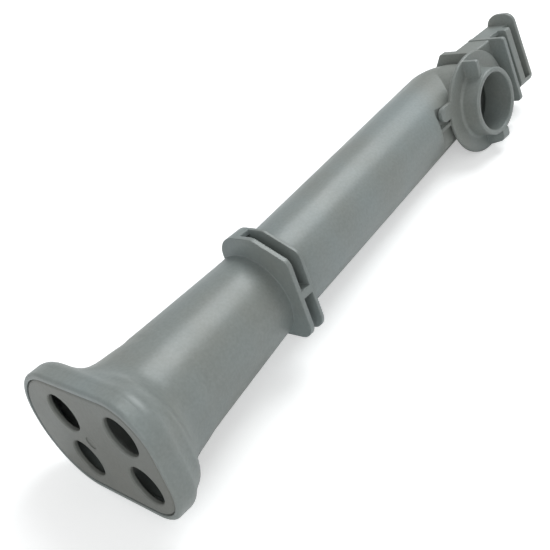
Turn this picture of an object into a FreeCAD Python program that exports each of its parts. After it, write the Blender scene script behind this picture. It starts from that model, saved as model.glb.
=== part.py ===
import FreeCAD, Part
import Sketcher
import math
import os
from FreeCAD import Placement, Rotation, Vector

# Feed tube of a dishwasher wash arm, in millimetres.
# Working frame: X runs from the docking face to the hook end, Z is the way the spigot points
# and Y completes it. The docking face is the plane X = 0. The tube leaves that face at the
# origin and falls away from Z as it goes. Heights at the far end are above the point where
# the tube's axis meets the spigot's axis.

SIZES = [
    ("tube_radius", 17.5, "outer radius of the tube from the collar to the elbow"),
    ("tube_wall", 2.3, "wall of the tube and the flare"),
    ("slope", 8.4, "degrees between the tube and the docking direction"),
    ("mouth_radius", 21.9, "radius that the cone of the tube would have at the docking face"),
    ("cone_length", 81.0, "docking face to the end of the cone, along the tube"),
    ("foot_wide", 47.4, "docking foot along Y"),
    ("foot_high", 71.9, "docking foot along Z"),
    ("foot_drop", 7.45, "middle of the foot below the tube's axis"),
    ("foot_round_low", 22.9, "lower corners of the foot"),
    ("foot_round_top", 17.4, "upper corners of the foot"),
    ("foot_depth", 9.7, "thickness of the foot"),
    ("rim_round", 1.2, "rounding of the foot's front edge"),
    ("shoulder_round", 4.5, "rounding of the foot's back edge"),
    ("throat_lean", 0.3, "share of the slope with which the first flare section leans"),
    ("throat_place_0", 6.0, "flare sections, along the tube"),
    ("throat_place_1", 9.7, ""),
    ("throat_place_2", 12.6, ""),
    ("throat_place_3", 16.6, ""),
    ("throat_place_4", 23.0, ""),
    ("throat_share_0", 0.38, "how far each section has closed from the foot to the tube"),
    ("throat_share_1", 0.54, ""),
    ("throat_share_2", 0.81, ""),
    ("throat_share_3", 0.93, ""),
    ("throat_share_4", 0.975, ""),
    ("crown_share_0", 0.25, "the same for the upper edge of each section"),
    ("crown_share_1", 0.40, ""),
    ("crown_share_2", 0.73, ""),
    ("crown_share_3", 0.90, ""),
    ("crown_share_4", 0.96, ""),
    ("flare_length", 31.0, "docking face to where the flare has become the tube"),
    ("flare_step", 0.06, "how far inside the tube's surface the flare ends"),
    ("bore_lead", 3.0, "how far the tube's bore runs back into the flare"),
    ("bite", 1.0, "how far a feature is sunk into the one that carries it"),
    ("rim_wall", 2.0, "wall round the inlet plate"),
    ("ledge", 1.8, "shelf that the inlet plate seats on"),
    ("plate_thickness", 1.6, "inlet plate"),
    ("plate_clearance", 0.2, "gap between the inlet plate and the rim"),
    ("plate_bevel", 0.6, "bevel of the inlet plate's front edge"),
    ("port_radius", 7.2, "each of the four inlet ports"),
    ("port_lip", 0.4, "bevelled lead-in of a port"),
    ("port_pitch_high", 31.0, "ports apart along Z"),
    ("port_pitch_wide", 19.2, "ports apart along Y"),
    ("port_drop", 2.2, "middle of the ports below the tube's axis"),
    ("gate_radius", 2.4, "shallow round mark in the middle of the plate"),
    ("gate_depth", 0.3, ""),
    ("gate_drop", 9.2, "gate mark below the tube's axis"),
    ("collar_place", 80.7, "docking face to the near plate of the collar"),
    ("collar_sheet", 1.9, "near collar plate and end wall"),
    ("collar_far_sheet", 1.2, "far collar plate"),
    ("collar_gap", 4.4, "slot between the collar plates"),
    ("collar_top", 23.5, "collar above the tube's axis"),
    ("collar_left", 24.6, "collar to the left of the tube's axis"),
    ("collar_right", 14.8, "collar to the right of the tube's axis"),
    ("collar_low", 9.0, "collar below the tube's axis"),
    ("collar_lobe", 8.8, "radius of the closed lobe of the collar"),
    ("collar_bevel_high", 14.4, "bevelled corner of the collar, along Z"),
    ("collar_bevel_wide", 7.6, "bevelled corner of the collar, along Y"),
    ("collar_round", 6.0, "free corner of the collar"),
    ("collar_bevel_round", 5.0, "outer end of the collar's bevel"),
    ("collar_top_round", 3.5, "upper end of the collar's bevel"),
    ("end_wall_start", 6.0, "end wall of the collar beside the tube's axis"),
    ("end_wall_top", 2.0, "end wall of the collar above the tube's axis"),
    ("web_place", 2.9, "web of the collar beside the tube's axis"),
    ("web_sheet", 3.0, "web of the collar"),
    ("web_low", 8.0, "foot of the web above the tube's axis, inside the tube's wall"),
    ("elbow_bend", 6.0, "bend radius of the elbow at the tube's axis"),
    ("relief_radius", 33.0, "clear ring round the flange"),
    ("relief_height", 18.8, "floor of the clear ring"),
    ("relief_bevel", 1.5, "bevel at the outer edge of the ring's floor"),
    ("roof_start", 35.5, "start of the passage's flat roof before the spigot's axis"),
    ("roof_offset", 11.8, "flat roof above the tube's axis"),
    ("spigot_place", 242.0, "docking face to the spigot's axis"),
    ("spigot_radius", 15.3, "outer radius of the spigot"),
    ("spigot_bore", 13.0, "bore radius of the spigot"),
    ("bore_bevel", 0.5, "bevel at the mouth of the bore"),
    ("shaft_top", 13.8, "where the passage starts to narrow to the bore"),
    ("bore_start", 16.8, "where the bore has its own radius"),
    ("spigot_top", 31.0, "mouth of the spigot"),
    ("spigot_lip", 0.6, "bevel of the spigot's mouth"),
    ("spigot_root", 1.5, "rounding at the foot of the spigot"),
    ("flange_radius", 23.2, "flange round the spigot"),
    ("flange_top", 22.0, "top of the flange"),
    ("flange_sheet", 2.0, "thickness of the flange"),
    ("flange_bevel", 0.5, "bevels of the flange's rim"),
    ("rib_place", 6.3, "rib on the flange before the spigot's axis"),
    ("rib_sheet", 2.0, "thickness of the rib"),
    ("rib_left", 22.1, "outer edge of the rib"),
    ("rib_top", 29.2, "top of the rib"),
    ("rib_round", 1.0, "corner of the rib"),
    ("lug_start", 0.5, "lug before the spigot's axis"),
    ("lug_length", 5.0, "length of the lug"),
    ("lug_root", 22.3, "lug to the right of the axis at the flange"),
    ("lug_tip", 19.6, "lug to the right of the axis at its top"),
    ("lug_top", 31.0, "top of the lug"),
    ("lug_round_in", 1.4, "corners of the lug, beside the spigot and away from it"),
    ("lug_round_out", 2.6, ""),
    ("tab_reach", 29.8, "tab before the spigot's axis"),
    ("tab_near", 2.9, "edges of the tab to the left of the axis"),
    ("tab_far", 9.5, ""),
    ("tab_round", 3.0, "corners of the tab"),
    ("gusset_sheet", 1.8, "gusset between the tube's crest and the flange"),
    ("neck_start", 9.0, "spigot's axis to the back wall of the neck"),
    ("neck_sheet", 2.0, "walls of the neck"),
    ("neck_low", 6.4, "underside of the neck"),
    ("neck_top", 18.0, "top of the neck"),
    ("neck_left", 20.2, "neck to the left of the axis"),
    ("neck_right", 10.6, "neck to the right of the axis"),
    ("neck_round", 1.0, "corners of the neck, the fin and the trough"),
    ("fin_sheet", 3.6, "back wall of the neck, which ends in a fin"),
    ("fin_low", 0.5, "tip of the fin below the axis"),
    ("fin_root", 8.0, "slanted underside of the fin where it meets the elbow"),
    ("fin_root_left", 8.0, ""),
    ("stop_place", 23.9, "spigot's axis to the stop plate"),
    ("stop_sheet", 2.1, "thickness of the stop plate"),
    ("stop_left", 20.5, "stop plate to the left of the axis"),
    ("stop_right", 11.2, "stop plate to the right of the axis"),
    ("stop_top_left", 25.3, "left end of the stop plate's top"),
    ("stop_top_right", 28.0, "right end of the stop plate's top"),
    ("stop_round", 1.6, "corners of the stop plate"),
    ("trough_top", 16.0, "walls between the stop plate and the hook"),
    ("hook_place", 34.9, "spigot's axis to the near plate of the hook"),
    ("hook_near", 4.2, "thickness of the near hook plate"),
    ("hook_gap", 4.4, "slot of the hook"),
    ("hook_far", 1.9, "thickness of the far hook plate"),
    ("hook_left", 25.1, "lobe of the far hook plate to the left of the axis"),
    ("hook_right", 12.8, "hook to the right of the axis"),
    ("hook_low", 5.5, "underside of the hook"),
    ("hook_top_left", 19.6, "left end of the hook's top"),
    ("hook_top_right", 23.4, "right end of the hook's top"),
    ("hook_bevel_wide", 4.5, "bevel at the right end of the hook, along Y"),
    ("hook_bevel_high", 7.9, "bevel at the right end of the hook, along Z"),
    ("hook_round", 4.6, "corners of the lobe"),
    ("hook_corner", 2.0, "lower right corner of the hook"),
    ("hook_bevel_top", 4.0, "upper end of the hook's bevel"),
    ("hook_bevel_low", 5.0, "lower end of the hook's bevel"),
    ("slot_round", 1.5, "lower corners of the hook's slot"),
    ("hook_wall", 2.3, "wall at the right end of the slot"),
    ("hook_wall_top", 15.9, "wall at the left end of the slot"),
    ("rest_turn", 75.1, "degrees about X from the working frame to the object as it lies"),
    ("rest_tip", 0.62, "degrees about Y, foot end up"),
]

doc = FreeCAD.newDocument("FeedTube")
sheet = doc.addObject("Spreadsheet::Sheet", "Sizes")
for row, (alias, number, note) in enumerate(SIZES, start=1):
    sheet.set(f"A{row}", note)
    sheet.set(f"B{row}", str(number))
    sheet.setAlias(f"B{row}", alias)
doc.recompute()


class Size:
    """A length together with the sheet formula that gives it."""

    def __init__(self, number, formula):
        self.number = number
        self.formula = formula

    def __add__(self, other):
        other = as_size(other)
        return Size(self.number + other.number, f"({self.formula} + {other.formula})")

    def __sub__(self, other):
        other = as_size(other)
        return Size(self.number - other.number, f"({self.formula} - {other.formula})")

    def __mul__(self, other):
        other = as_size(other)
        return Size(self.number * other.number, f"({self.formula} * {other.formula})")

    def __truediv__(self, other):
        other = as_size(other)
        return Size(self.number / other.number, f"({self.formula} / {other.formula})")

    def __neg__(self):
        return Size(-self.number, f"(-1 * {self.formula})")


def as_size(value):
    return value if isinstance(value, Size) else Size(float(value), repr(float(value)))


def size(alias):
    return Size(float(sheet.get(alias)), f"Sizes.{alias}")


def tangent(angle):
    return Size(math.tan(math.radians(angle.number)), f"tan({angle.formula})")


def sine(angle):
    return Size(math.sin(math.radians(angle.number)), f"sin({angle.formula})")


def cosine(angle):
    return Size(math.cos(math.radians(angle.number)), f"cos({angle.formula})")


ZERO = as_size(0)
BEYOND = as_size(4)


def axis_fall(place):
    """How far the tube's axis has fallen at a distance from the docking face."""
    return place * tangent(size("slope"))


def cone_radius(along):
    """Outer radius of the tube's cone at a distance along the tube."""
    fall = (size("mouth_radius") - size("tube_radius")) / size("cone_length")
    return size("mouth_radius") - fall * along


def bend_angle():
    return size("slope") + 90


def bend_reach():
    """How far the elbow reaches along either axis from the point where they cross."""
    return size("elbow_bend") * tangent(bend_angle() / 2)


def bend_start():
    """Distance along the tube where the elbow begins."""
    return size("spigot_place") / cosine(size("slope")) - bend_reach()


def new_body(name):
    body = doc.addObject("PartDesign::Body", name)
    body.Label = name
    return body


def new_sketch(body, name, role, shift=(ZERO, ZERO, ZERO), turn=None, axis=Vector(0, 0, 1)):
    """A sketch on one of the body's own planes, shifted and turned in its own directions."""
    sketch = body.newObject("Sketcher::SketchObject", name)
    support = [feature for feature in body.Origin.OriginFeatures if feature.Role == role][0]
    sketch.AttachmentSupport = (support, [""])
    sketch.MapMode = "FlatFace"
    for letter, amount in zip("xyz", shift):
        sketch.setExpression(f"AttachmentOffset.Base.{letter}", as_size(amount).formula)
    if turn is not None:
        sketch.AttachmentOffset = Placement(Vector(), Rotation(axis, 1))
        sketch.setExpression("AttachmentOffset.Rotation.Angle", turn.formula)
    return sketch


def across_x(body, name, place, height=ZERO):
    """A sketch square to X."""
    return new_sketch(body, name, "YZ_Plane", (ZERO, height, place))


def across_tube(body, name, along, rise=ZERO):
    """A sketch square to the tube, at a distance along it and a rise off its axis."""
    slope = size("slope")
    place = along * cosine(slope) + rise * sine(slope)
    height = rise * cosine(slope) - along * sine(slope)
    return new_sketch(body, name, "YZ_Plane", (ZERO, height, place), slope, Vector(1, 0, 0))


def far_across(body, name, offset):
    """A sketch square to X, offset from the spigot's axis, with its origin at the crossing."""
    place = size("spigot_place")
    return across_x(body, name, place + offset, -axis_fall(place))


def far_level(body, name, height):
    """A sketch square to the spigot's axis at a height, with its origin on that axis."""
    place = size("spigot_place")
    return new_sketch(body, name, "XY_Plane", (place, ZERO, height - axis_fall(place)))


def far_profile(body, name):
    """A sketch in the plane Y = 0 with its origin where the two axes cross."""
    place = size("spigot_place")
    return new_sketch(body, name, "XZ_Plane", (place, -axis_fall(place), ZERO))


def fix_point(sketch, geometry, position, x, y):
    """Holds a point of the sketch at two sheet formulas."""
    for kind, amount in (("DistanceX", as_size(x)), ("DistanceY", as_size(y))):
        index = sketch.addConstraint(
            Sketcher.Constraint(kind, -1, 1, geometry, position, amount.number))
        sketch.setExpression(f"Constraints[{index}]", amount.formula)


def fix_radius(sketch, geometry, radius):
    index = sketch.addConstraint(Sketcher.Constraint("Radius", geometry, radius.number))
    sketch.setExpression(f"Constraints[{index}]", radius.formula)


def add_circle(sketch, x, y, radius):
    x, y = as_size(x), as_size(y)
    centre = Vector(x.number, y.number, 0)
    ring = sketch.addGeometry(Part.Circle(centre, Vector(0, 0, 1), radius.number), False)
    fix_point(sketch, ring, 3, x, y)
    fix_radius(sketch, ring, radius)


def add_flatted_circle(sketch, centre, radius, flat):
    """A circle about (0, centre) that is cut off by the level line at flat."""
    half = math.sqrt(radius.number ** 2 - (flat.number - centre.number) ** 2)
    right = math.atan2(flat.number - centre.number, half)
    middle = Vector(0, centre.number, 0)
    circle = Part.Circle(middle, Vector(0, 0, 1), radius.number)
    arc = sketch.addGeometry(
        Part.ArcOfCircle(circle, math.pi - right, 2 * math.pi + right), False)
    ends = (Vector(half, flat.number, 0), Vector(-half, flat.number, 0))
    line = sketch.addGeometry(Part.LineSegment(*ends), False)
    sketch.addConstraint(Sketcher.Constraint("Coincident", line, 1, arc, 2))
    sketch.addConstraint(Sketcher.Constraint("Coincident", line, 2, arc, 1))
    fix_point(sketch, arc, 3, ZERO, centre)
    fix_radius(sketch, arc, radius)
    for position in (1, 2):
        index = sketch.addConstraint(
            Sketcher.Constraint("DistanceY", -1, 1, line, position, flat.number))
        sketch.setExpression(f"Constraints[{index}]", flat.formula)


def add_outline(sketch, corners):
    """A closed outline through corners (x, y) or (x, y, radius), counterclockwise."""
    count = len(corners)
    spots = [Vector(as_size(c[0]).number, as_size(c[1]).number, 0) for c in corners]
    radii = [as_size(c[2]) if len(c) > 2 else None for c in corners]
    guides = [sketch.addGeometry(Part.LineSegment(spots[i], spots[(i + 1) % count]), True)
              for i in range(count)]
    for i in range(count):
        following = guides[(i + 1) % count]
        sketch.addConstraint(Sketcher.Constraint("Coincident", guides[i], 2, following, 1))
        fix_point(sketch, guides[i], 1, corners[i][0], corners[i][1])
    entry, leave, bends = [], [], []
    for i in range(count):
        if radii[i] is None:
            entry.append(spots[i])
            leave.append(spots[i])
            bends.append(None)
            continue
        back = (spots[i - 1] - spots[i]).normalize()
        ahead = (spots[(i + 1) % count] - spots[i]).normalize()
        half = back.getAngle(ahead) / 2
        reach = radii[i].number / math.tan(half)
        entry.append(spots[i] + back * reach)
        leave.append(spots[i] + ahead * reach)
        centre = spots[i] + (back + ahead).normalize() * (radii[i].number / math.sin(half))
        outward = back.cross(ahead).z < 0
        first, last = (entry[i], leave[i]) if outward else (leave[i], entry[i])
        start = math.atan2(first.y - centre.y, first.x - centre.x)
        stop = math.atan2(last.y - centre.y, last.x - centre.x)
        circle = Part.Circle(centre, Vector(0, 0, 1), radii[i].number)
        arc = sketch.addGeometry(Part.ArcOfCircle(circle, start, stop), False)
        bends.append((arc, 1 if outward else 2, 2 if outward else 1))
        fix_radius(sketch, arc, radii[i])
    for i in range(count):
        following = (i + 1) % count
        side = sketch.addGeometry(Part.LineSegment(leave[i], entry[following]), False)
        for corner, end, guide_end in ((i, 1, 1), (following, 2, 2)):
            if bends[corner] is None:
                sketch.addConstraint(
                    Sketcher.Constraint("Coincident", side, end, guides[i], guide_end))
            else:
                arc, arc_entry, arc_leave = bends[corner]
                arc_end = arc_leave if corner == i else arc_entry
                sketch.addConstraint(Sketcher.Constraint("Tangent", side, end, arc, arc_end))
                sketch.addConstraint(
                    Sketcher.Constraint("PointOnObject", side, end, guides[i]))


def add_feature(body, kind, name, sketch, **settings):
    """A feature made from a sketch. It has to change the body's volume."""
    before = body.Shape.Volume if body.Tip else 0.0
    feature = body.newObject(f"PartDesign::{kind}", name)
    feature.Profile = sketch
    feature.Refine = False
    for key, value in settings.items():
        if isinstance(value, Size):
            feature.setExpression(key, value.formula)
        else:
            setattr(feature, key, value)
    sketch.Visibility = False
    check_change(body, feature, before, kind in ("Pocket", "Groove", "SubtractiveLoft"))
    return feature


def check_change(body, feature, before, removes):
    """Makes sure that a feature gave one sound solid and changed its volume the right way."""
    doc.recompute()
    shape = feature.Shape
    change = shape.Volume - before
    if not shape.isValid() or len(shape.Solids) != 1:
        raise RuntimeError(f"{feature.Name} isn't one sound solid")
    if (change < 0) != removes or abs(change) < 0.5:
        raise RuntimeError(f"{feature.Name} changed the volume by {change:.2f}")


def soften_edges(body, kind, name, length, wanted):
    """Rounds or bevels the edges of the body whose bounding boxes the test accepts."""
    base = body.Tip
    names = [f"Edge{i}" for i, edge in enumerate(base.Shape.Edges, start=1)
             if wanted(edge.BoundBox)]
    before = base.Shape.Volume
    feature = body.newObject(f"PartDesign::{kind}", name)
    feature.Base = (base, names)
    feature.Refine = False
    feature.setExpression("Radius" if kind == "Fillet" else "Size", size(length).formula)
    check_change(body, feature, before, True)


def foot_outline(sketch, inset):
    """The rounded oblong of the docking foot, less an inset."""
    wide = size("foot_wide") / 2 - inset
    top = size("foot_high") / 2 - size("foot_drop") - inset
    low = size("foot_high") / 2 + size("foot_drop") - inset
    low_round = size("foot_round_low") - inset
    top_round = size("foot_round_top") - inset
    add_outline(sketch, [(-wide, -low, low_round), (wide, -low, low_round),
                         (wide, top, top_round), (-wide, top, top_round)])


def flare_section(body, name, along, share, crown, inset, back=ZERO, lean=as_size(1)):
    """An outline across the tube, between the foot (share 0) and the tube (share 1)."""
    place = (along - back) * cosine(size("slope"))
    sketch = new_sketch(body, name, "YZ_Plane", (ZERO, -axis_fall(place), place),
                        size("slope") * lean, Vector(1, 0, 0))
    radius = cone_radius(along) - inset
    share, crown = as_size(share), as_size(crown)
    rest, crown_rest = as_size(1) - share, as_size(1) - crown
    wide = (size("foot_wide") / 2 - inset) * rest + radius * share
    half = size("foot_high") / 2 - inset
    sink = size("foot_drop") - axis_fall(along * cosine(size("slope")))
    top = (half - sink) * crown_rest + radius * crown
    low = (half + sink) * rest + radius * share
    full_round = radius - 0.05
    low_round = (size("foot_round_low") - inset) * rest + full_round * share
    top_round = (size("foot_round_top") - inset) * crown_rest + full_round * crown
    add_outline(sketch, [(-wide, -low, low_round), (wide, -low, low_round),
                         (wide, top, top_round), (-wide, top, top_round)])
    sketch.Visibility = False
    return sketch


def add_flare(body, kind, name, inset, last_inset, back, steps=range(5), **settings):
    """The passage from the foot to the tube through sections at some of the throat's steps."""
    sections = []
    for step in steps:
        lean = size("throat_lean") if step == 0 else as_size(1)
        sections.append(flare_section(
            body, f"{name}Section{step}", size(f"throat_place_{step}"),
            size(f"throat_share_{step}"), size(f"crown_share_{step}"), inset, back, lean))
    sections.append(flare_section(
        body, f"{name}LastSection", size("flare_length"), 1, 1,
        last_inset + size("flare_step")))
    doc.recompute()
    add_feature(body, kind, name, sections[0], Sections=sections[1:], **settings)


def make_foot(body):
    """The docking foot and the flare behind it."""
    face = across_x(body, "FootOutline", ZERO)
    foot_outline(face, ZERO)
    add_feature(body, "Pad", "Foot", face, Length=size("foot_depth"))
    depth = size("foot_depth").number
    soften_edges(body, "Fillet", "FootFrontEdge", "rim_round", lambda box: box.XMax < 0.01)
    soften_edges(body, "Fillet", "FootBackEdge", "shoulder_round",
                 lambda box: box.XMin > depth - 0.01)
    add_flare(body, "AdditiveLoft", "Flare", ZERO, ZERO, ZERO)


def make_tube(body):
    """The cone behind the flare, the plain tube and the elbow under the spigot."""
    start = size("flare_length")
    outline = new_sketch(body, "TubeProfile", "XZ_Plane", turn=-size("slope"))
    add_outline(outline, [
        (start, ZERO), (bend_start(), ZERO), (bend_start(), size("tube_radius")),
        (size("cone_length"), size("tube_radius")), (start, cone_radius(start))])
    add_feature(body, "Revolution", "Tube", outline, ReferenceAxis=(outline, ["H_Axis"]))
    bend = across_tube(body, "ElbowOutline", bend_start(), size("elbow_bend"))
    add_flatted_circle(bend, -size("elbow_bend"), size("tube_radius"), ZERO)
    add_feature(body, "Revolution", "Elbow", bend, ReferenceAxis=(bend, ["H_Axis"]),
                Angle=bend_angle(), Reversed=True)
    ring = far_profile(body, "ReliefProfile")
    add_outline(ring, [
        (ZERO, size("relief_height")),
        (size("relief_radius") - size("relief_bevel"), size("relief_height")),
        (size("relief_radius"), size("relief_height") + size("relief_bevel")),
        (size("relief_radius"), size("spigot_top")), (ZERO, size("spigot_top"))])
    add_feature(body, "Groove", "Relief", ring, ReferenceAxis=(ring, ["V_Axis"]))


def make_collar(body):
    """Two plates across the tube, joined by an end wall at the left and by one web."""
    place, wall, gap = size("collar_place"), size("collar_sheet"), size("collar_gap")
    left, right = size("collar_left"), size("collar_right")
    top, low = size("collar_top"), size("collar_low")
    fall = axis_fall(place)
    plates = (("CollarNearPlate", place, wall),
              ("CollarFarPlate", place + wall + gap, size("collar_far_sheet")))
    for name, offset, thickness in plates:
        plate = across_x(body, f"{name}Outline", offset, -fall)
        add_outline(plate, [
            (-right, -low), (left, -low, size("collar_lobe")),
            (left, top - size("collar_bevel_high"), size("collar_bevel_round")),
            (left - size("collar_bevel_wide"), top, size("collar_top_round")),
            (-right, top, size("collar_round"))])
        add_feature(body, "Pad", name, plate, Length=thickness)
    start = place + wall / 2
    length = gap + wall
    end = across_x(body, "CollarEndWallOutline", start, -fall)
    lobe = size("collar_lobe")
    inner = size("end_wall_start")
    add_outline(end, [
        (inner, -low), (left, -low, lobe), (left, size("end_wall_top")),
        (left - wall, size("end_wall_top")), (left - wall, wall - low, lobe - wall),
        (inner, wall - low)])
    add_feature(body, "Pad", "CollarEndWall", end, Length=length)
    web = across_x(body, "CollarWebOutline", start, -fall)
    half = size("web_sheet") / 2
    add_outline(web, [
        (size("web_place") - half, size("web_low")),
        (size("web_place") + half, size("web_low")),
        (size("web_place") + half, top), (size("web_place") - half, top)])
    add_feature(body, "Pad", "CollarWeb", web, Length=length)


def make_spigot(body):
    """The spigot that carries the wash arm, with its flange, rib, lug, tab and gusset."""
    under = size("flange_top") - size("flange_sheet")
    profile = far_profile(body, "SpigotProfile")
    rim, bevel, lip = size("flange_radius"), size("flange_bevel"), size("spigot_lip")
    add_outline(profile, [
        (ZERO, bend_reach()), (size("tube_radius"), bend_reach()),
        (size("tube_radius"), under), (rim - bevel, under), (rim, under + bevel),
        (rim, size("flange_top") - bevel), (rim - bevel, size("flange_top")),
        (size("spigot_radius"), size("flange_top"), size("spigot_root")),
        (size("spigot_radius"), size("spigot_top") - lip),
        (size("spigot_radius") - lip, size("spigot_top")), (ZERO, size("spigot_top"))])
    add_feature(body, "Revolution", "Spigot", profile, ReferenceAxis=(profile, ["V_Axis"]))
    root = size("spigot_radius") - size("bite")
    level = size("flange_top") - size("bite")
    rib = far_across(body, "RibOutline", -size("rib_place"))
    add_outline(rib, [
        (root - size("bite"), level), (size("rib_left"), level),
        (size("rib_left"), size("rib_top"), size("rib_round")),
        (root - size("bite"), size("rib_top"))])
    add_feature(body, "Pad", "Rib", rib, Length=size("rib_sheet"))
    lug = far_across(body, "LugOutline", -size("lug_start"))
    add_outline(lug, [
        (-size("lug_root"), level), (-root, level),
        (-root, size("lug_top"), size("lug_round_in")),
        (-size("lug_tip"), size("lug_top"), size("lug_round_out"))])
    add_feature(body, "Pad", "Lug", lug, Length=size("lug_length"))
    inside = size("tube_radius") + size("bite")
    tab = far_level(body, "TabOutline", under)
    add_outline(tab, [
        (-size("tab_reach"), size("tab_near"), size("tab_round")),
        (-inside, size("tab_near")), (-inside, size("tab_far")),
        (-size("tab_reach"), size("tab_far"), size("tab_round"))])
    add_feature(body, "Pad", "Tab", tab, Length=size("flange_sheet"))
    gusset = far_level(body, "GussetOutline", size("relief_height") - size("bite"))
    half = size("gusset_sheet") / 2
    reach = size("relief_radius") + size("bite")
    add_outline(gusset, [(-reach, -half), (-inside, -half), (-inside, half), (-reach, half)])
    add_feature(body, "Pad", "Gusset", gusset,
                Length=under + size("bite") * 1.5 - size("relief_height"))


def make_neck(body):
    """The hollow neck beyond the elbow, with its fin, stop plate, trough and hook."""
    sheet_size = size("neck_sheet")
    left, right = size("neck_left"), size("neck_right")
    low, top = size("neck_low"), size("neck_top")
    bend, bite = size("neck_round"), size("bite")
    fin = far_across(body, "FinOutline", size("neck_start"))
    add_outline(fin, [
        (-right, low), (-right, -size("fin_root")), (size("fin_root_left"), -size("fin_root")),
        (left, -size("fin_low"), bend), (left, top), (-right, top)])
    add_feature(body, "Pad", "Fin", fin, Length=size("fin_sheet"))
    neck = far_across(body, "NeckOutline", size("neck_start"))
    add_outline(neck, [
        (-right, low), (sheet_size - right, low), (sheet_size - right, top - sheet_size, bend),
        (left - sheet_size, top - sheet_size, bend), (left - sheet_size, low), (left, low),
        (left, top, bend), (-right, top, bend)])
    add_feature(body, "Pad", "Neck", neck, Length=size("stop_place") - size("neck_start") + bite)
    stop = far_across(body, "StopOutline", size("stop_place"))
    add_outline(stop, [
        (-size("stop_right"), low), (size("stop_left"), low),
        (size("stop_left"), size("stop_top_left"), size("stop_round")),
        (-size("stop_right"), size("stop_top_right"), size("stop_round"))])
    add_feature(body, "Pad", "Stop", stop, Length=size("stop_sheet"))
    trough = far_across(body, "TroughOutline", size("stop_place") + bite)
    floor = low + sheet_size
    wall_top = size("trough_top")
    add_outline(trough, [
        (-right, low), (left, low), (left, wall_top), (left - sheet_size, wall_top),
        (left - sheet_size, floor, bend), (sheet_size - right, floor, bend),
        (sheet_size - right, wall_top), (-right, wall_top)])
    add_feature(body, "Pad", "Trough", trough,
                Length=size("hook_place") - size("stop_place"))
    make_hook(body)


def make_hook(body):
    """Two plates with a slot between them at the end of the neck. The far one has a lobe."""
    wall, right, low = size("neck_sheet"), size("hook_right"), size("hook_low")
    wide, high = size("hook_bevel_wide"), size("hook_bevel_high")
    top_right = size("hook_top_right")
    slope = (top_right - size("hook_top_left")) / (right - wide + size("hook_left"))
    near, gap = size("hook_near"), size("hook_gap")
    corner, slot_round = size("hook_corner"), size("slot_round")
    upper, lower = size("hook_bevel_top"), size("hook_bevel_low")
    block = far_across(body, "HookOutline", size("hook_place"))
    left = size("neck_left")
    add_outline(block, [
        (-right, low, corner), (left, size("neck_low")),
        (left, top_right - slope * (right - wide + left), size("neck_round")),
        (wide - right, top_right, upper), (-right, top_right - high, lower)])
    add_feature(body, "Pad", "Hook", block, Length=near + gap + size("bite") / 2)
    slot = far_across(body, "HookSlotOutline", size("hook_place") + near)
    inner = size("hook_wall") - right
    add_outline(slot, [
        (inner, low + wall, slot_round), (left - wall, low + wall, slot_round),
        (left - wall, size("hook_wall_top")), (left + BEYOND, size("hook_wall_top")),
        (left + BEYOND, top_right + BEYOND),
        (inner + wide * (high + BEYOND) / high, top_right + BEYOND),
        (inner, top_right - high)])
    add_feature(body, "Pocket", "HookSlot", slot, Length=gap, Reversed=True)
    lobe = far_across(body, "HookFarPlateOutline", size("hook_place") + near + gap)
    add_outline(lobe, [
        (-right, low, corner), (size("hook_left"), low, size("hook_round") + slot_round),
        (size("hook_left"), size("hook_top_left"), size("hook_round")),
        (wide - right, top_right, upper), (-right, top_right - high, lower)])
    add_feature(body, "Pad", "HookFarPlate", lobe, Length=size("hook_far"))


def make_passage(body):
    """The water way: foot, flare, tube, elbow and spigot bore, and the seat of the plate."""
    wall, bite = size("tube_wall"), size("bite")
    cavity = across_x(body, "FootCavityOutline", ZERO)
    foot_outline(cavity, size("rim_wall") + size("ledge"))
    add_feature(body, "Pocket", "FootCavity", cavity, Length=size("foot_depth") - wall,
                Reversed=True)
    add_flare(body, "SubtractiveLoft", "FlareCavity", wall - 0.3, wall, wall - 0.2,
              steps=(0, 2, 3), Ruled=True)
    place = size("spigot_place")
    roof = (place - size("roof_start")) / cosine(size("slope"))
    inside = size("tube_radius") - wall
    start = size("flare_length") - size("bore_lead")
    full = size("flare_length") + size("bore_lead") / 8
    bore = new_sketch(body, "BoreProfile", "XZ_Plane", turn=-size("slope"))
    add_outline(bore, [
        (start, ZERO), (roof, ZERO), (roof, inside), (size("cone_length"), inside),
        (full, cone_radius(full) - wall), (start, cone_radius(start) - wall - bite)])
    add_feature(body, "Groove", "Bore", bore, ReferenceAxis=(bore, ["H_Axis"]))
    flat = across_tube(body, "RoofedBoreOutline", roof - bite)
    add_flatted_circle(flat, ZERO, inside, size("roof_offset"))
    add_feature(body, "Pocket", "RoofedBore", flat, Length=bend_start() - roof + bite,
                Reversed=True)
    bend = across_tube(body, "ElbowCavityOutline", bend_start(), size("elbow_bend"))
    add_flatted_circle(bend, -size("elbow_bend"), inside, ZERO)
    add_feature(body, "Groove", "ElbowCavity", bend, ReferenceAxis=(bend, ["H_Axis"]),
                Angle=bend_angle(), Reversed=True)
    outlet = far_profile(body, "OutletProfile")
    bore_radius = size("spigot_bore")
    shaft = inside - 0.1
    bottom = bend_reach() - bite / 2
    mouth, bevel = size("spigot_top"), size("bore_bevel")
    add_outline(outlet, [
        (ZERO, bottom), (shaft, bottom), (shaft, size("shaft_top")),
        (bore_radius, size("bore_start")), (bore_radius, mouth - bevel),
        (bore_radius + bevel * 1.5, mouth + bevel / 2), (ZERO, mouth + bevel / 2)])
    add_feature(body, "Groove", "Outlet", outlet, ReferenceAxis=(outlet, ["V_Axis"]))
    seat = across_x(body, "PlateSeatOutline", ZERO)
    foot_outline(seat, size("rim_wall"))
    add_feature(body, "Pocket", "PlateSeat", seat, Length=size("plate_thickness"),
                Reversed=True)


def make_feed_tube():
    body = new_body("feed_tube")
    make_foot(body)
    make_tube(body)
    make_collar(body)
    make_spigot(body)
    make_neck(body)
    make_passage(body)
    return body


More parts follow.
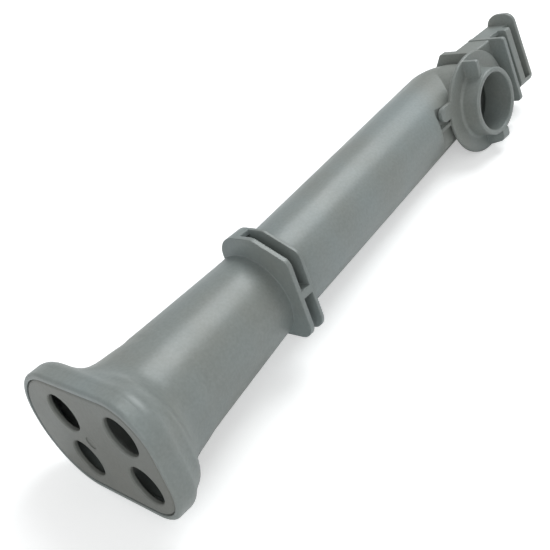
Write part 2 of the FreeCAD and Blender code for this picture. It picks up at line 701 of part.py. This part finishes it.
def make_inlet_plate():
    """The plate with four ports that closes the docking foot."""
    body = new_body("inlet_plate")
    face = across_x(body, "PlateOutline", ZERO)
    foot_outline(face, size("rim_wall") + size("plate_clearance"))
    add_feature(body, "Pad", "Plate", face, Length=size("plate_thickness"))
    soften_edges(body, "Chamfer", "PlateEdge", "plate_bevel", lambda box: box.XMax < 0.01)
    ports = across_x(body, "PortCircles", ZERO)
    for across in (-1, 1):
        for up in (-1, 1):
            add_circle(ports, size("port_pitch_wide") * (across / 2),
                       size("port_pitch_high") * (up / 2) - size("port_drop"),
                       size("port_radius"))
    add_feature(body, "Pocket", "Ports", ports, Type="ThroughAll", Reversed=True)
    wide = size("port_radius").number * 2 + 1
    soften_edges(body, "Chamfer", "PortLips", "port_lip",
                 lambda box: box.XMax < 0.01 and wide - 2 < box.YLength < wide)
    gate = across_x(body, "GateMarkCircle", ZERO)
    add_circle(gate, ZERO, -size("gate_drop"), size("gate_radius"))
    add_feature(body, "Pocket", "GateMark", gate, Length=size("gate_depth"), Reversed=True)
    return body


def lay_down(bodies):
    """Turns the object to lie as it comes to rest, the middle of its base at the origin."""
    tip = Rotation(Vector(0, 1, 0), size("rest_tip").number)
    turn = tip.multiply(Rotation(Vector(1, 0, 0), size("rest_turn").number))
    points = [turn.multVec(point) for body in bodies for point in body.Shape.tessellate(0.1)[0]]
    along = [point.x for point in points]
    across = [point.y for point in points]
    middle = Vector((min(along) + max(along)) / 2, (min(across) + max(across)) / 2,
                    min(point.z for point in points))
    for body in bodies:
        body.Placement = Placement(-middle, turn)


def check(bodies):
    """Every feature has to have worked, and every piece has to be one sound solid."""
    for item in doc.Objects:
        if "Invalid" in item.State or "Error" in item.State:
            raise RuntimeError(f"{item.Name} failed: {item.State}")
    for body in bodies:
        shape = body.Shape
        if shape.isNull() or not shape.isValid() or len(shape.Solids) != 1:
            raise RuntimeError(f"{body.Label} isn't one sound solid")


def main():
    bodies = [make_feed_tube(), make_inlet_plate()]
    doc.recompute()
    check(bodies)
    lay_down(bodies)
    doc.recompute()
    os.makedirs("parts", exist_ok=True)
    for body in bodies:
        body.Shape.exportStep(f"parts/{body.Label}.step")
        print(body.Label, round(body.Shape.Volume / 1000, 2), "cm3", body.Shape.BoundBox)


main()
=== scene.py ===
import math
import bpy
from mathutils import Matrix, Vector
from mathutils.bvhtree import BVHTree


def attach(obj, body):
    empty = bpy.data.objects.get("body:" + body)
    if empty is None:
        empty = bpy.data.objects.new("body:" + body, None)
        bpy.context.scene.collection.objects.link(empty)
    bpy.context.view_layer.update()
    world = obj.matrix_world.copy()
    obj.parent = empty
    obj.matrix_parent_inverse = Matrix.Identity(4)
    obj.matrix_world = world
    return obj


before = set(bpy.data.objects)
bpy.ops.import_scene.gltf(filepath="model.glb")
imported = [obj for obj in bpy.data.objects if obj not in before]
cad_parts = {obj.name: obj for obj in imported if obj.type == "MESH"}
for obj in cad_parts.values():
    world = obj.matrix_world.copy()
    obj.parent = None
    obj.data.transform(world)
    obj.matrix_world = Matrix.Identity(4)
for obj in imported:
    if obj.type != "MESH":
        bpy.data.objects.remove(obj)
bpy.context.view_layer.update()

# Camera, in metres in the part's frame. The directions are unit vectors, the lens and the
# sensor in millimetres.
CAMERA_PLACE = Vector((-0.22241, -0.18014, 0.22717))
CAMERA_RIGHT = Vector((0.63858, -0.75686, -0.13916))
CAMERA_UP = Vector((0.55342, 0.32600, 0.76645))
LENS = 56.95
SENSOR = 36.0
CAMERA_NEAR = 0.01

# Colours are linear.
TUBE_GREY = (0.224, 0.257, 0.256)
TUBE_WARM = (0.215, 0.228, 0.212)
# The plate's two greys are darker than the tube's: painted shade for its face, which is turned
# away from the key lamp.
PLATE_SHADE_GREY = (0.172, 0.182, 0.171)
PLATE_SHADE_WARM = (0.164, 0.164, 0.145)
FLOOR_WHITE = (0.86, 0.86, 0.86)
LAMP_WHITE = (0.95, 0.99, 1.0)

# Light: the strength of the world, the floor's glow for the camera, and the two square lamps,
# each with its place in metres and its power in watts.
AMBIENT = 0.43
FLOOR_GLOW = 0.42
LAMP_SIDE = 0.8
LAMPS = (
    ("key", (0.70, 0.12, 1.00), 10.4),
    ("fill", (-0.76, -0.50, 0.60), 3.4),
)
FLOOR_SIDE = 40.0
FLOOR_ROUGHNESS = 0.9
FLOOR_SPECULAR = 0.1

# Plastic: how rough it is, and its textures in cycles per metre.
TUBE_ROUGHNESS = 0.35
PLATE_ROUGHNESS = 0.42
SPECULAR = 0.5
CLOUD_SCALE = 22.0
SPECK_SCALE = 900.0
PATCH_SCALE = 60.0
GRAIN_SCALE = 2600.0
GRAIN_STRENGTH = 0.16
GRAIN_DEPTH = 0.00012
EDGE_RADIUS = 0.0007
EDGE_SAMPLES = 8

# The docking face: its origin, the way the tube leaves it, the spigot's way and the left.
DOCK_PLACE = Vector((-0.1436454, -0.0106792, 0.0289965))
ALONG = Vector((0.9999415, 0.0, -0.0108209))
RISE = Vector((0.0027824, -0.9663798, 0.2571034))
LEFT = RISE.cross(ALONG)
TUBE_SLOPE = math.radians(8.4)

# The skin on the foot: rays round the tube and along it, in metres, and the rows that show.
SKIN_TURNS = 216
SKIN_STATIONS = 110
SKIN_STEP = 0.0004
SKIN_ROWS = (4, 92)
SKIN_FADE = 8
SKIN_BALL = 0.009
SKIN_PROUD = 0.00005
SKIN_SUNK = 0.0004
RAY_START = 0.08


def new_material(name):
    material = bpy.data.materials.new(name)
    material.use_nodes = True
    return material, material.node_tree.nodes, material.node_tree.links


def noise(nodes, links, place, scale, detail, roughness=0.5):
    """A noise texture in object space. The scale is in cycles per metre."""
    node = nodes.new("ShaderNodeTexNoise")
    node.inputs["Scale"].default_value = scale
    node.inputs["Detail"].default_value = detail
    node.inputs["Roughness"].default_value = roughness
    links.new(place.outputs["Object"], node.inputs["Vector"])
    return node


def spread(nodes, links, source, low, high, to_low, to_high):
    """Maps a range of a value to another range."""
    node = nodes.new("ShaderNodeMapRange")
    node.inputs["From Min"].default_value = low
    node.inputs["From Max"].default_value = high
    node.inputs["To Min"].default_value = to_low
    node.inputs["To Max"].default_value = to_high
    links.new(source, node.inputs["Value"])
    return node


def moulded_plastic(name, cool, warm, roughness):
    """Grey polypropylene with the fine satin grain of a spark-eroded mould."""
    material, nodes, links = new_material(name)
    shader = nodes["Principled BSDF"]
    place = nodes.new("ShaderNodeTexCoord")
    cloud = noise(nodes, links, place, CLOUD_SCALE, 3.0)
    share = spread(nodes, links, cloud.outputs["Fac"], 0.35, 0.65, 0.0, 1.0)
    tone = nodes.new("ShaderNodeMix")
    tone.data_type = "RGBA"
    tone.inputs["A"].default_value = (*cool, 1.0)
    tone.inputs["B"].default_value = (*warm, 1.0)
    links.new(share.outputs["Result"], tone.inputs["Factor"])
    speck = noise(nodes, links, place, SPECK_SCALE, 2.0)
    light = spread(nodes, links, speck.outputs["Fac"], 0.3, 0.7, 0.94, 1.06)
    shade = nodes.new("ShaderNodeMix")
    shade.data_type = "RGBA"
    shade.blend_type = "MULTIPLY"
    shade.inputs["Factor"].default_value = 1.0
    links.new(tone.outputs["Result"], shade.inputs["A"])
    links.new(light.outputs["Result"], shade.inputs["B"])
    links.new(shade.outputs["Result"], shader.inputs["Base Color"])
    patch = noise(nodes, links, place, PATCH_SCALE, 3.0)
    rough = spread(nodes, links, patch.outputs["Fac"], 0.3, 0.7,
                   roughness - 0.04, roughness + 0.05)
    links.new(rough.outputs["Result"], shader.inputs["Roughness"])
    shader.inputs["Specular IOR Level"].default_value = SPECULAR
    edge = nodes.new("ShaderNodeBevel")
    edge.samples = EDGE_SAMPLES
    edge.inputs["Radius"].default_value = EDGE_RADIUS
    grain = noise(nodes, links, place, GRAIN_SCALE, 3.0, 0.6)
    bump = nodes.new("ShaderNodeBump")
    bump.inputs["Strength"].default_value = GRAIN_STRENGTH
    bump.inputs["Distance"].default_value = GRAIN_DEPTH
    links.new(grain.outputs["Fac"], bump.inputs["Height"])
    links.new(edge.outputs["Normal"], bump.inputs["Normal"])
    links.new(bump.outputs["Normal"], shader.inputs["Normal"])
    return material


def dress(node, material):
    """Gives every face of a CAD node the material."""
    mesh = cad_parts[node].data
    if not mesh.materials:
        mesh.materials.append(material)
    for index in range(len(mesh.materials)):
        mesh.materials[index] = material


def outer_radius(tree, station, turn):
    """Distance from the tube's axis to the outside of the moulding, in metres."""
    axis = DOCK_PLACE + ALONG * station - RISE * (station * math.tan(TUBE_SLOPE))
    way = LEFT * math.sin(turn) + RISE * math.cos(turn)
    distance = tree.ray_cast(axis + way * RAY_START, -way, RAY_START)[3]
    return RAY_START - distance, axis, way


def rolled(heights, step, radius):
    """Fills the hollows of a profile that a ball rolled along its outside can't reach."""
    reach = int(radius / step)
    rise = [math.sqrt(max(radius ** 2 - (k * step) ** 2, 0.0))
            for k in range(-reach, reach + 1)]
    last = len(heights) - 1
    outer = [max(heights[min(max(i + k - reach, 0), last)] + rise[k]
                 for k in range(2 * reach + 1)) for i in range(len(heights))]
    return [min(outer[min(max(i + k - reach, 0), last)] - rise[k]
                for k in range(2 * reach + 1)) for i in range(len(heights))]


def add_foot_blend(material):
    """The smooth skin where the foot's back edge sweeps into the flare.

    A ball is rolled along the outside of the solid in each half-plane through the tube's axis.
    The skin stands a little proud of the solid and dips into it at both ends.
    """
    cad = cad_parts["feed_tube"]
    tree = BVHTree.FromObject(cad, bpy.context.evaluated_depsgraph_get())
    points, faces = [], []
    start, end = SKIN_ROWS
    for j in range(SKIN_TURNS):
        rays = [outer_radius(tree, SKIN_STEP + SKIN_STEP * i, 2 * math.pi * j / SKIN_TURNS)
                for i in range(SKIN_STATIONS)]
        skin = rolled([ray[0] for ray in rays], SKIN_STEP, SKIN_BALL)
        for i in range(start, end):
            share = min((i - start) / SKIN_FADE, (end - 1 - i) / SKIN_FADE, 1.0)
            share = share * share * (3 - 2 * share)
            radius = skin[i] + SKIN_PROUD * share - SKIN_SUNK * (1 - share)
            points.append(rays[i][1] + rays[i][2] * radius)
    rows = end - start
    for j in range(SKIN_TURNS):
        for i in range(rows - 1):
            here, there = j * rows + i, (j + 1) % SKIN_TURNS * rows + i
            faces.append((here, here + 1, there + 1, there))
    mesh = bpy.data.meshes.new("foot_blend")
    mesh.from_pydata(points, [], faces)
    mesh.materials.append(material)
    mesh.shade_smooth()
    skin_object = bpy.data.objects.new("foot_blend", mesh)
    bpy.context.scene.collection.objects.link(skin_object)
    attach(skin_object, "root")


def add_floor():
    """A white floor. The camera sees it with a glow, so that only the soft shadow is grey."""
    bpy.ops.mesh.primitive_plane_add(size=FLOOR_SIDE, location=(0.0, 0.0, 0.0))
    floor = bpy.context.object
    floor.name = "floor"
    material, nodes, links = new_material("floor_paper")
    shader = nodes["Principled BSDF"]
    shader.inputs["Base Color"].default_value = (*FLOOR_WHITE, 1.0)
    shader.inputs["Roughness"].default_value = FLOOR_ROUGHNESS
    shader.inputs["Specular IOR Level"].default_value = FLOOR_SPECULAR
    glow = nodes.new("ShaderNodeEmission")
    path = nodes.new("ShaderNodeLightPath")
    total = nodes.new("ShaderNodeAddShader")
    strength = nodes.new("ShaderNodeMath")
    strength.operation = "MULTIPLY"
    strength.inputs[1].default_value = FLOOR_GLOW
    links.new(path.outputs["Is Camera Ray"], strength.inputs[0])
    links.new(strength.outputs["Value"], glow.inputs["Strength"])
    links.new(shader.outputs["BSDF"], total.inputs[0])
    links.new(glow.outputs["Emission"], total.inputs[1])
    links.new(total.outputs["Shader"], nodes["Material Output"].inputs["Surface"])
    floor.data.materials.append(material)


def add_lamp(name, place, power):
    """A soft square lamp that points at the middle of the floor."""
    lamp = bpy.data.lights.new(name, "AREA")
    lamp.shape = "RECTANGLE"
    lamp.size = lamp.size_y = LAMP_SIDE
    lamp.energy = power
    lamp.color = LAMP_WHITE
    holder = bpy.data.objects.new(name, lamp)
    holder.location = place
    holder.rotation_euler = (-Vector(place)).to_track_quat("-Z", "Y").to_euler()
    bpy.context.scene.collection.objects.link(holder)


def add_world():
    """Soft white light all round, which the camera sees at full white."""
    world = bpy.data.worlds.new("studio")
    bpy.context.scene.world = world
    world.use_nodes = True
    nodes, links = world.node_tree.nodes, world.node_tree.links
    path = nodes.new("ShaderNodeLightPath")
    strength = spread(nodes, links, path.outputs["Is Camera Ray"], 0.0, 1.0, AMBIENT, 1.0)
    background = nodes["Background"]
    background.inputs["Color"].default_value = (1.0, 1.0, 1.0, 1.0)
    links.new(strength.outputs["Result"], background.inputs["Strength"])


def add_camera():
    """The camera at the photograph's viewing angle."""
    camera = bpy.data.cameras.new("camera")
    camera.lens = LENS
    camera.sensor_width = SENSOR
    camera.clip_start = CAMERA_NEAR
    holder = bpy.data.objects.new("camera", camera)
    back = CAMERA_RIGHT.cross(CAMERA_UP).normalized()
    turn = Matrix((CAMERA_RIGHT, CAMERA_UP, back)).transposed().to_4x4()
    holder.matrix_world = Matrix.Translation(CAMERA_PLACE) @ turn
    bpy.context.scene.collection.objects.link(holder)
    bpy.context.scene.camera = holder


tube_plastic = moulded_plastic("tube_plastic", TUBE_GREY, TUBE_WARM, TUBE_ROUGHNESS)
dress("feed_tube", tube_plastic)
add_foot_blend(tube_plastic)
# The plate's material carries painted shade in its darker base colours.
plate_plastic = moulded_plastic("plate_plastic", PLATE_SHADE_GREY, PLATE_SHADE_WARM, PLATE_ROUGHNESS)
dress("inlet_plate", plate_plastic)
add_floor()
add_world()
add_camera()
for lamp_name, lamp_place, lamp_power in LAMPS:
    add_lamp(lamp_name, lamp_place, lamp_power)
bpy.context.scene.view_settings.view_transform = "Standard"
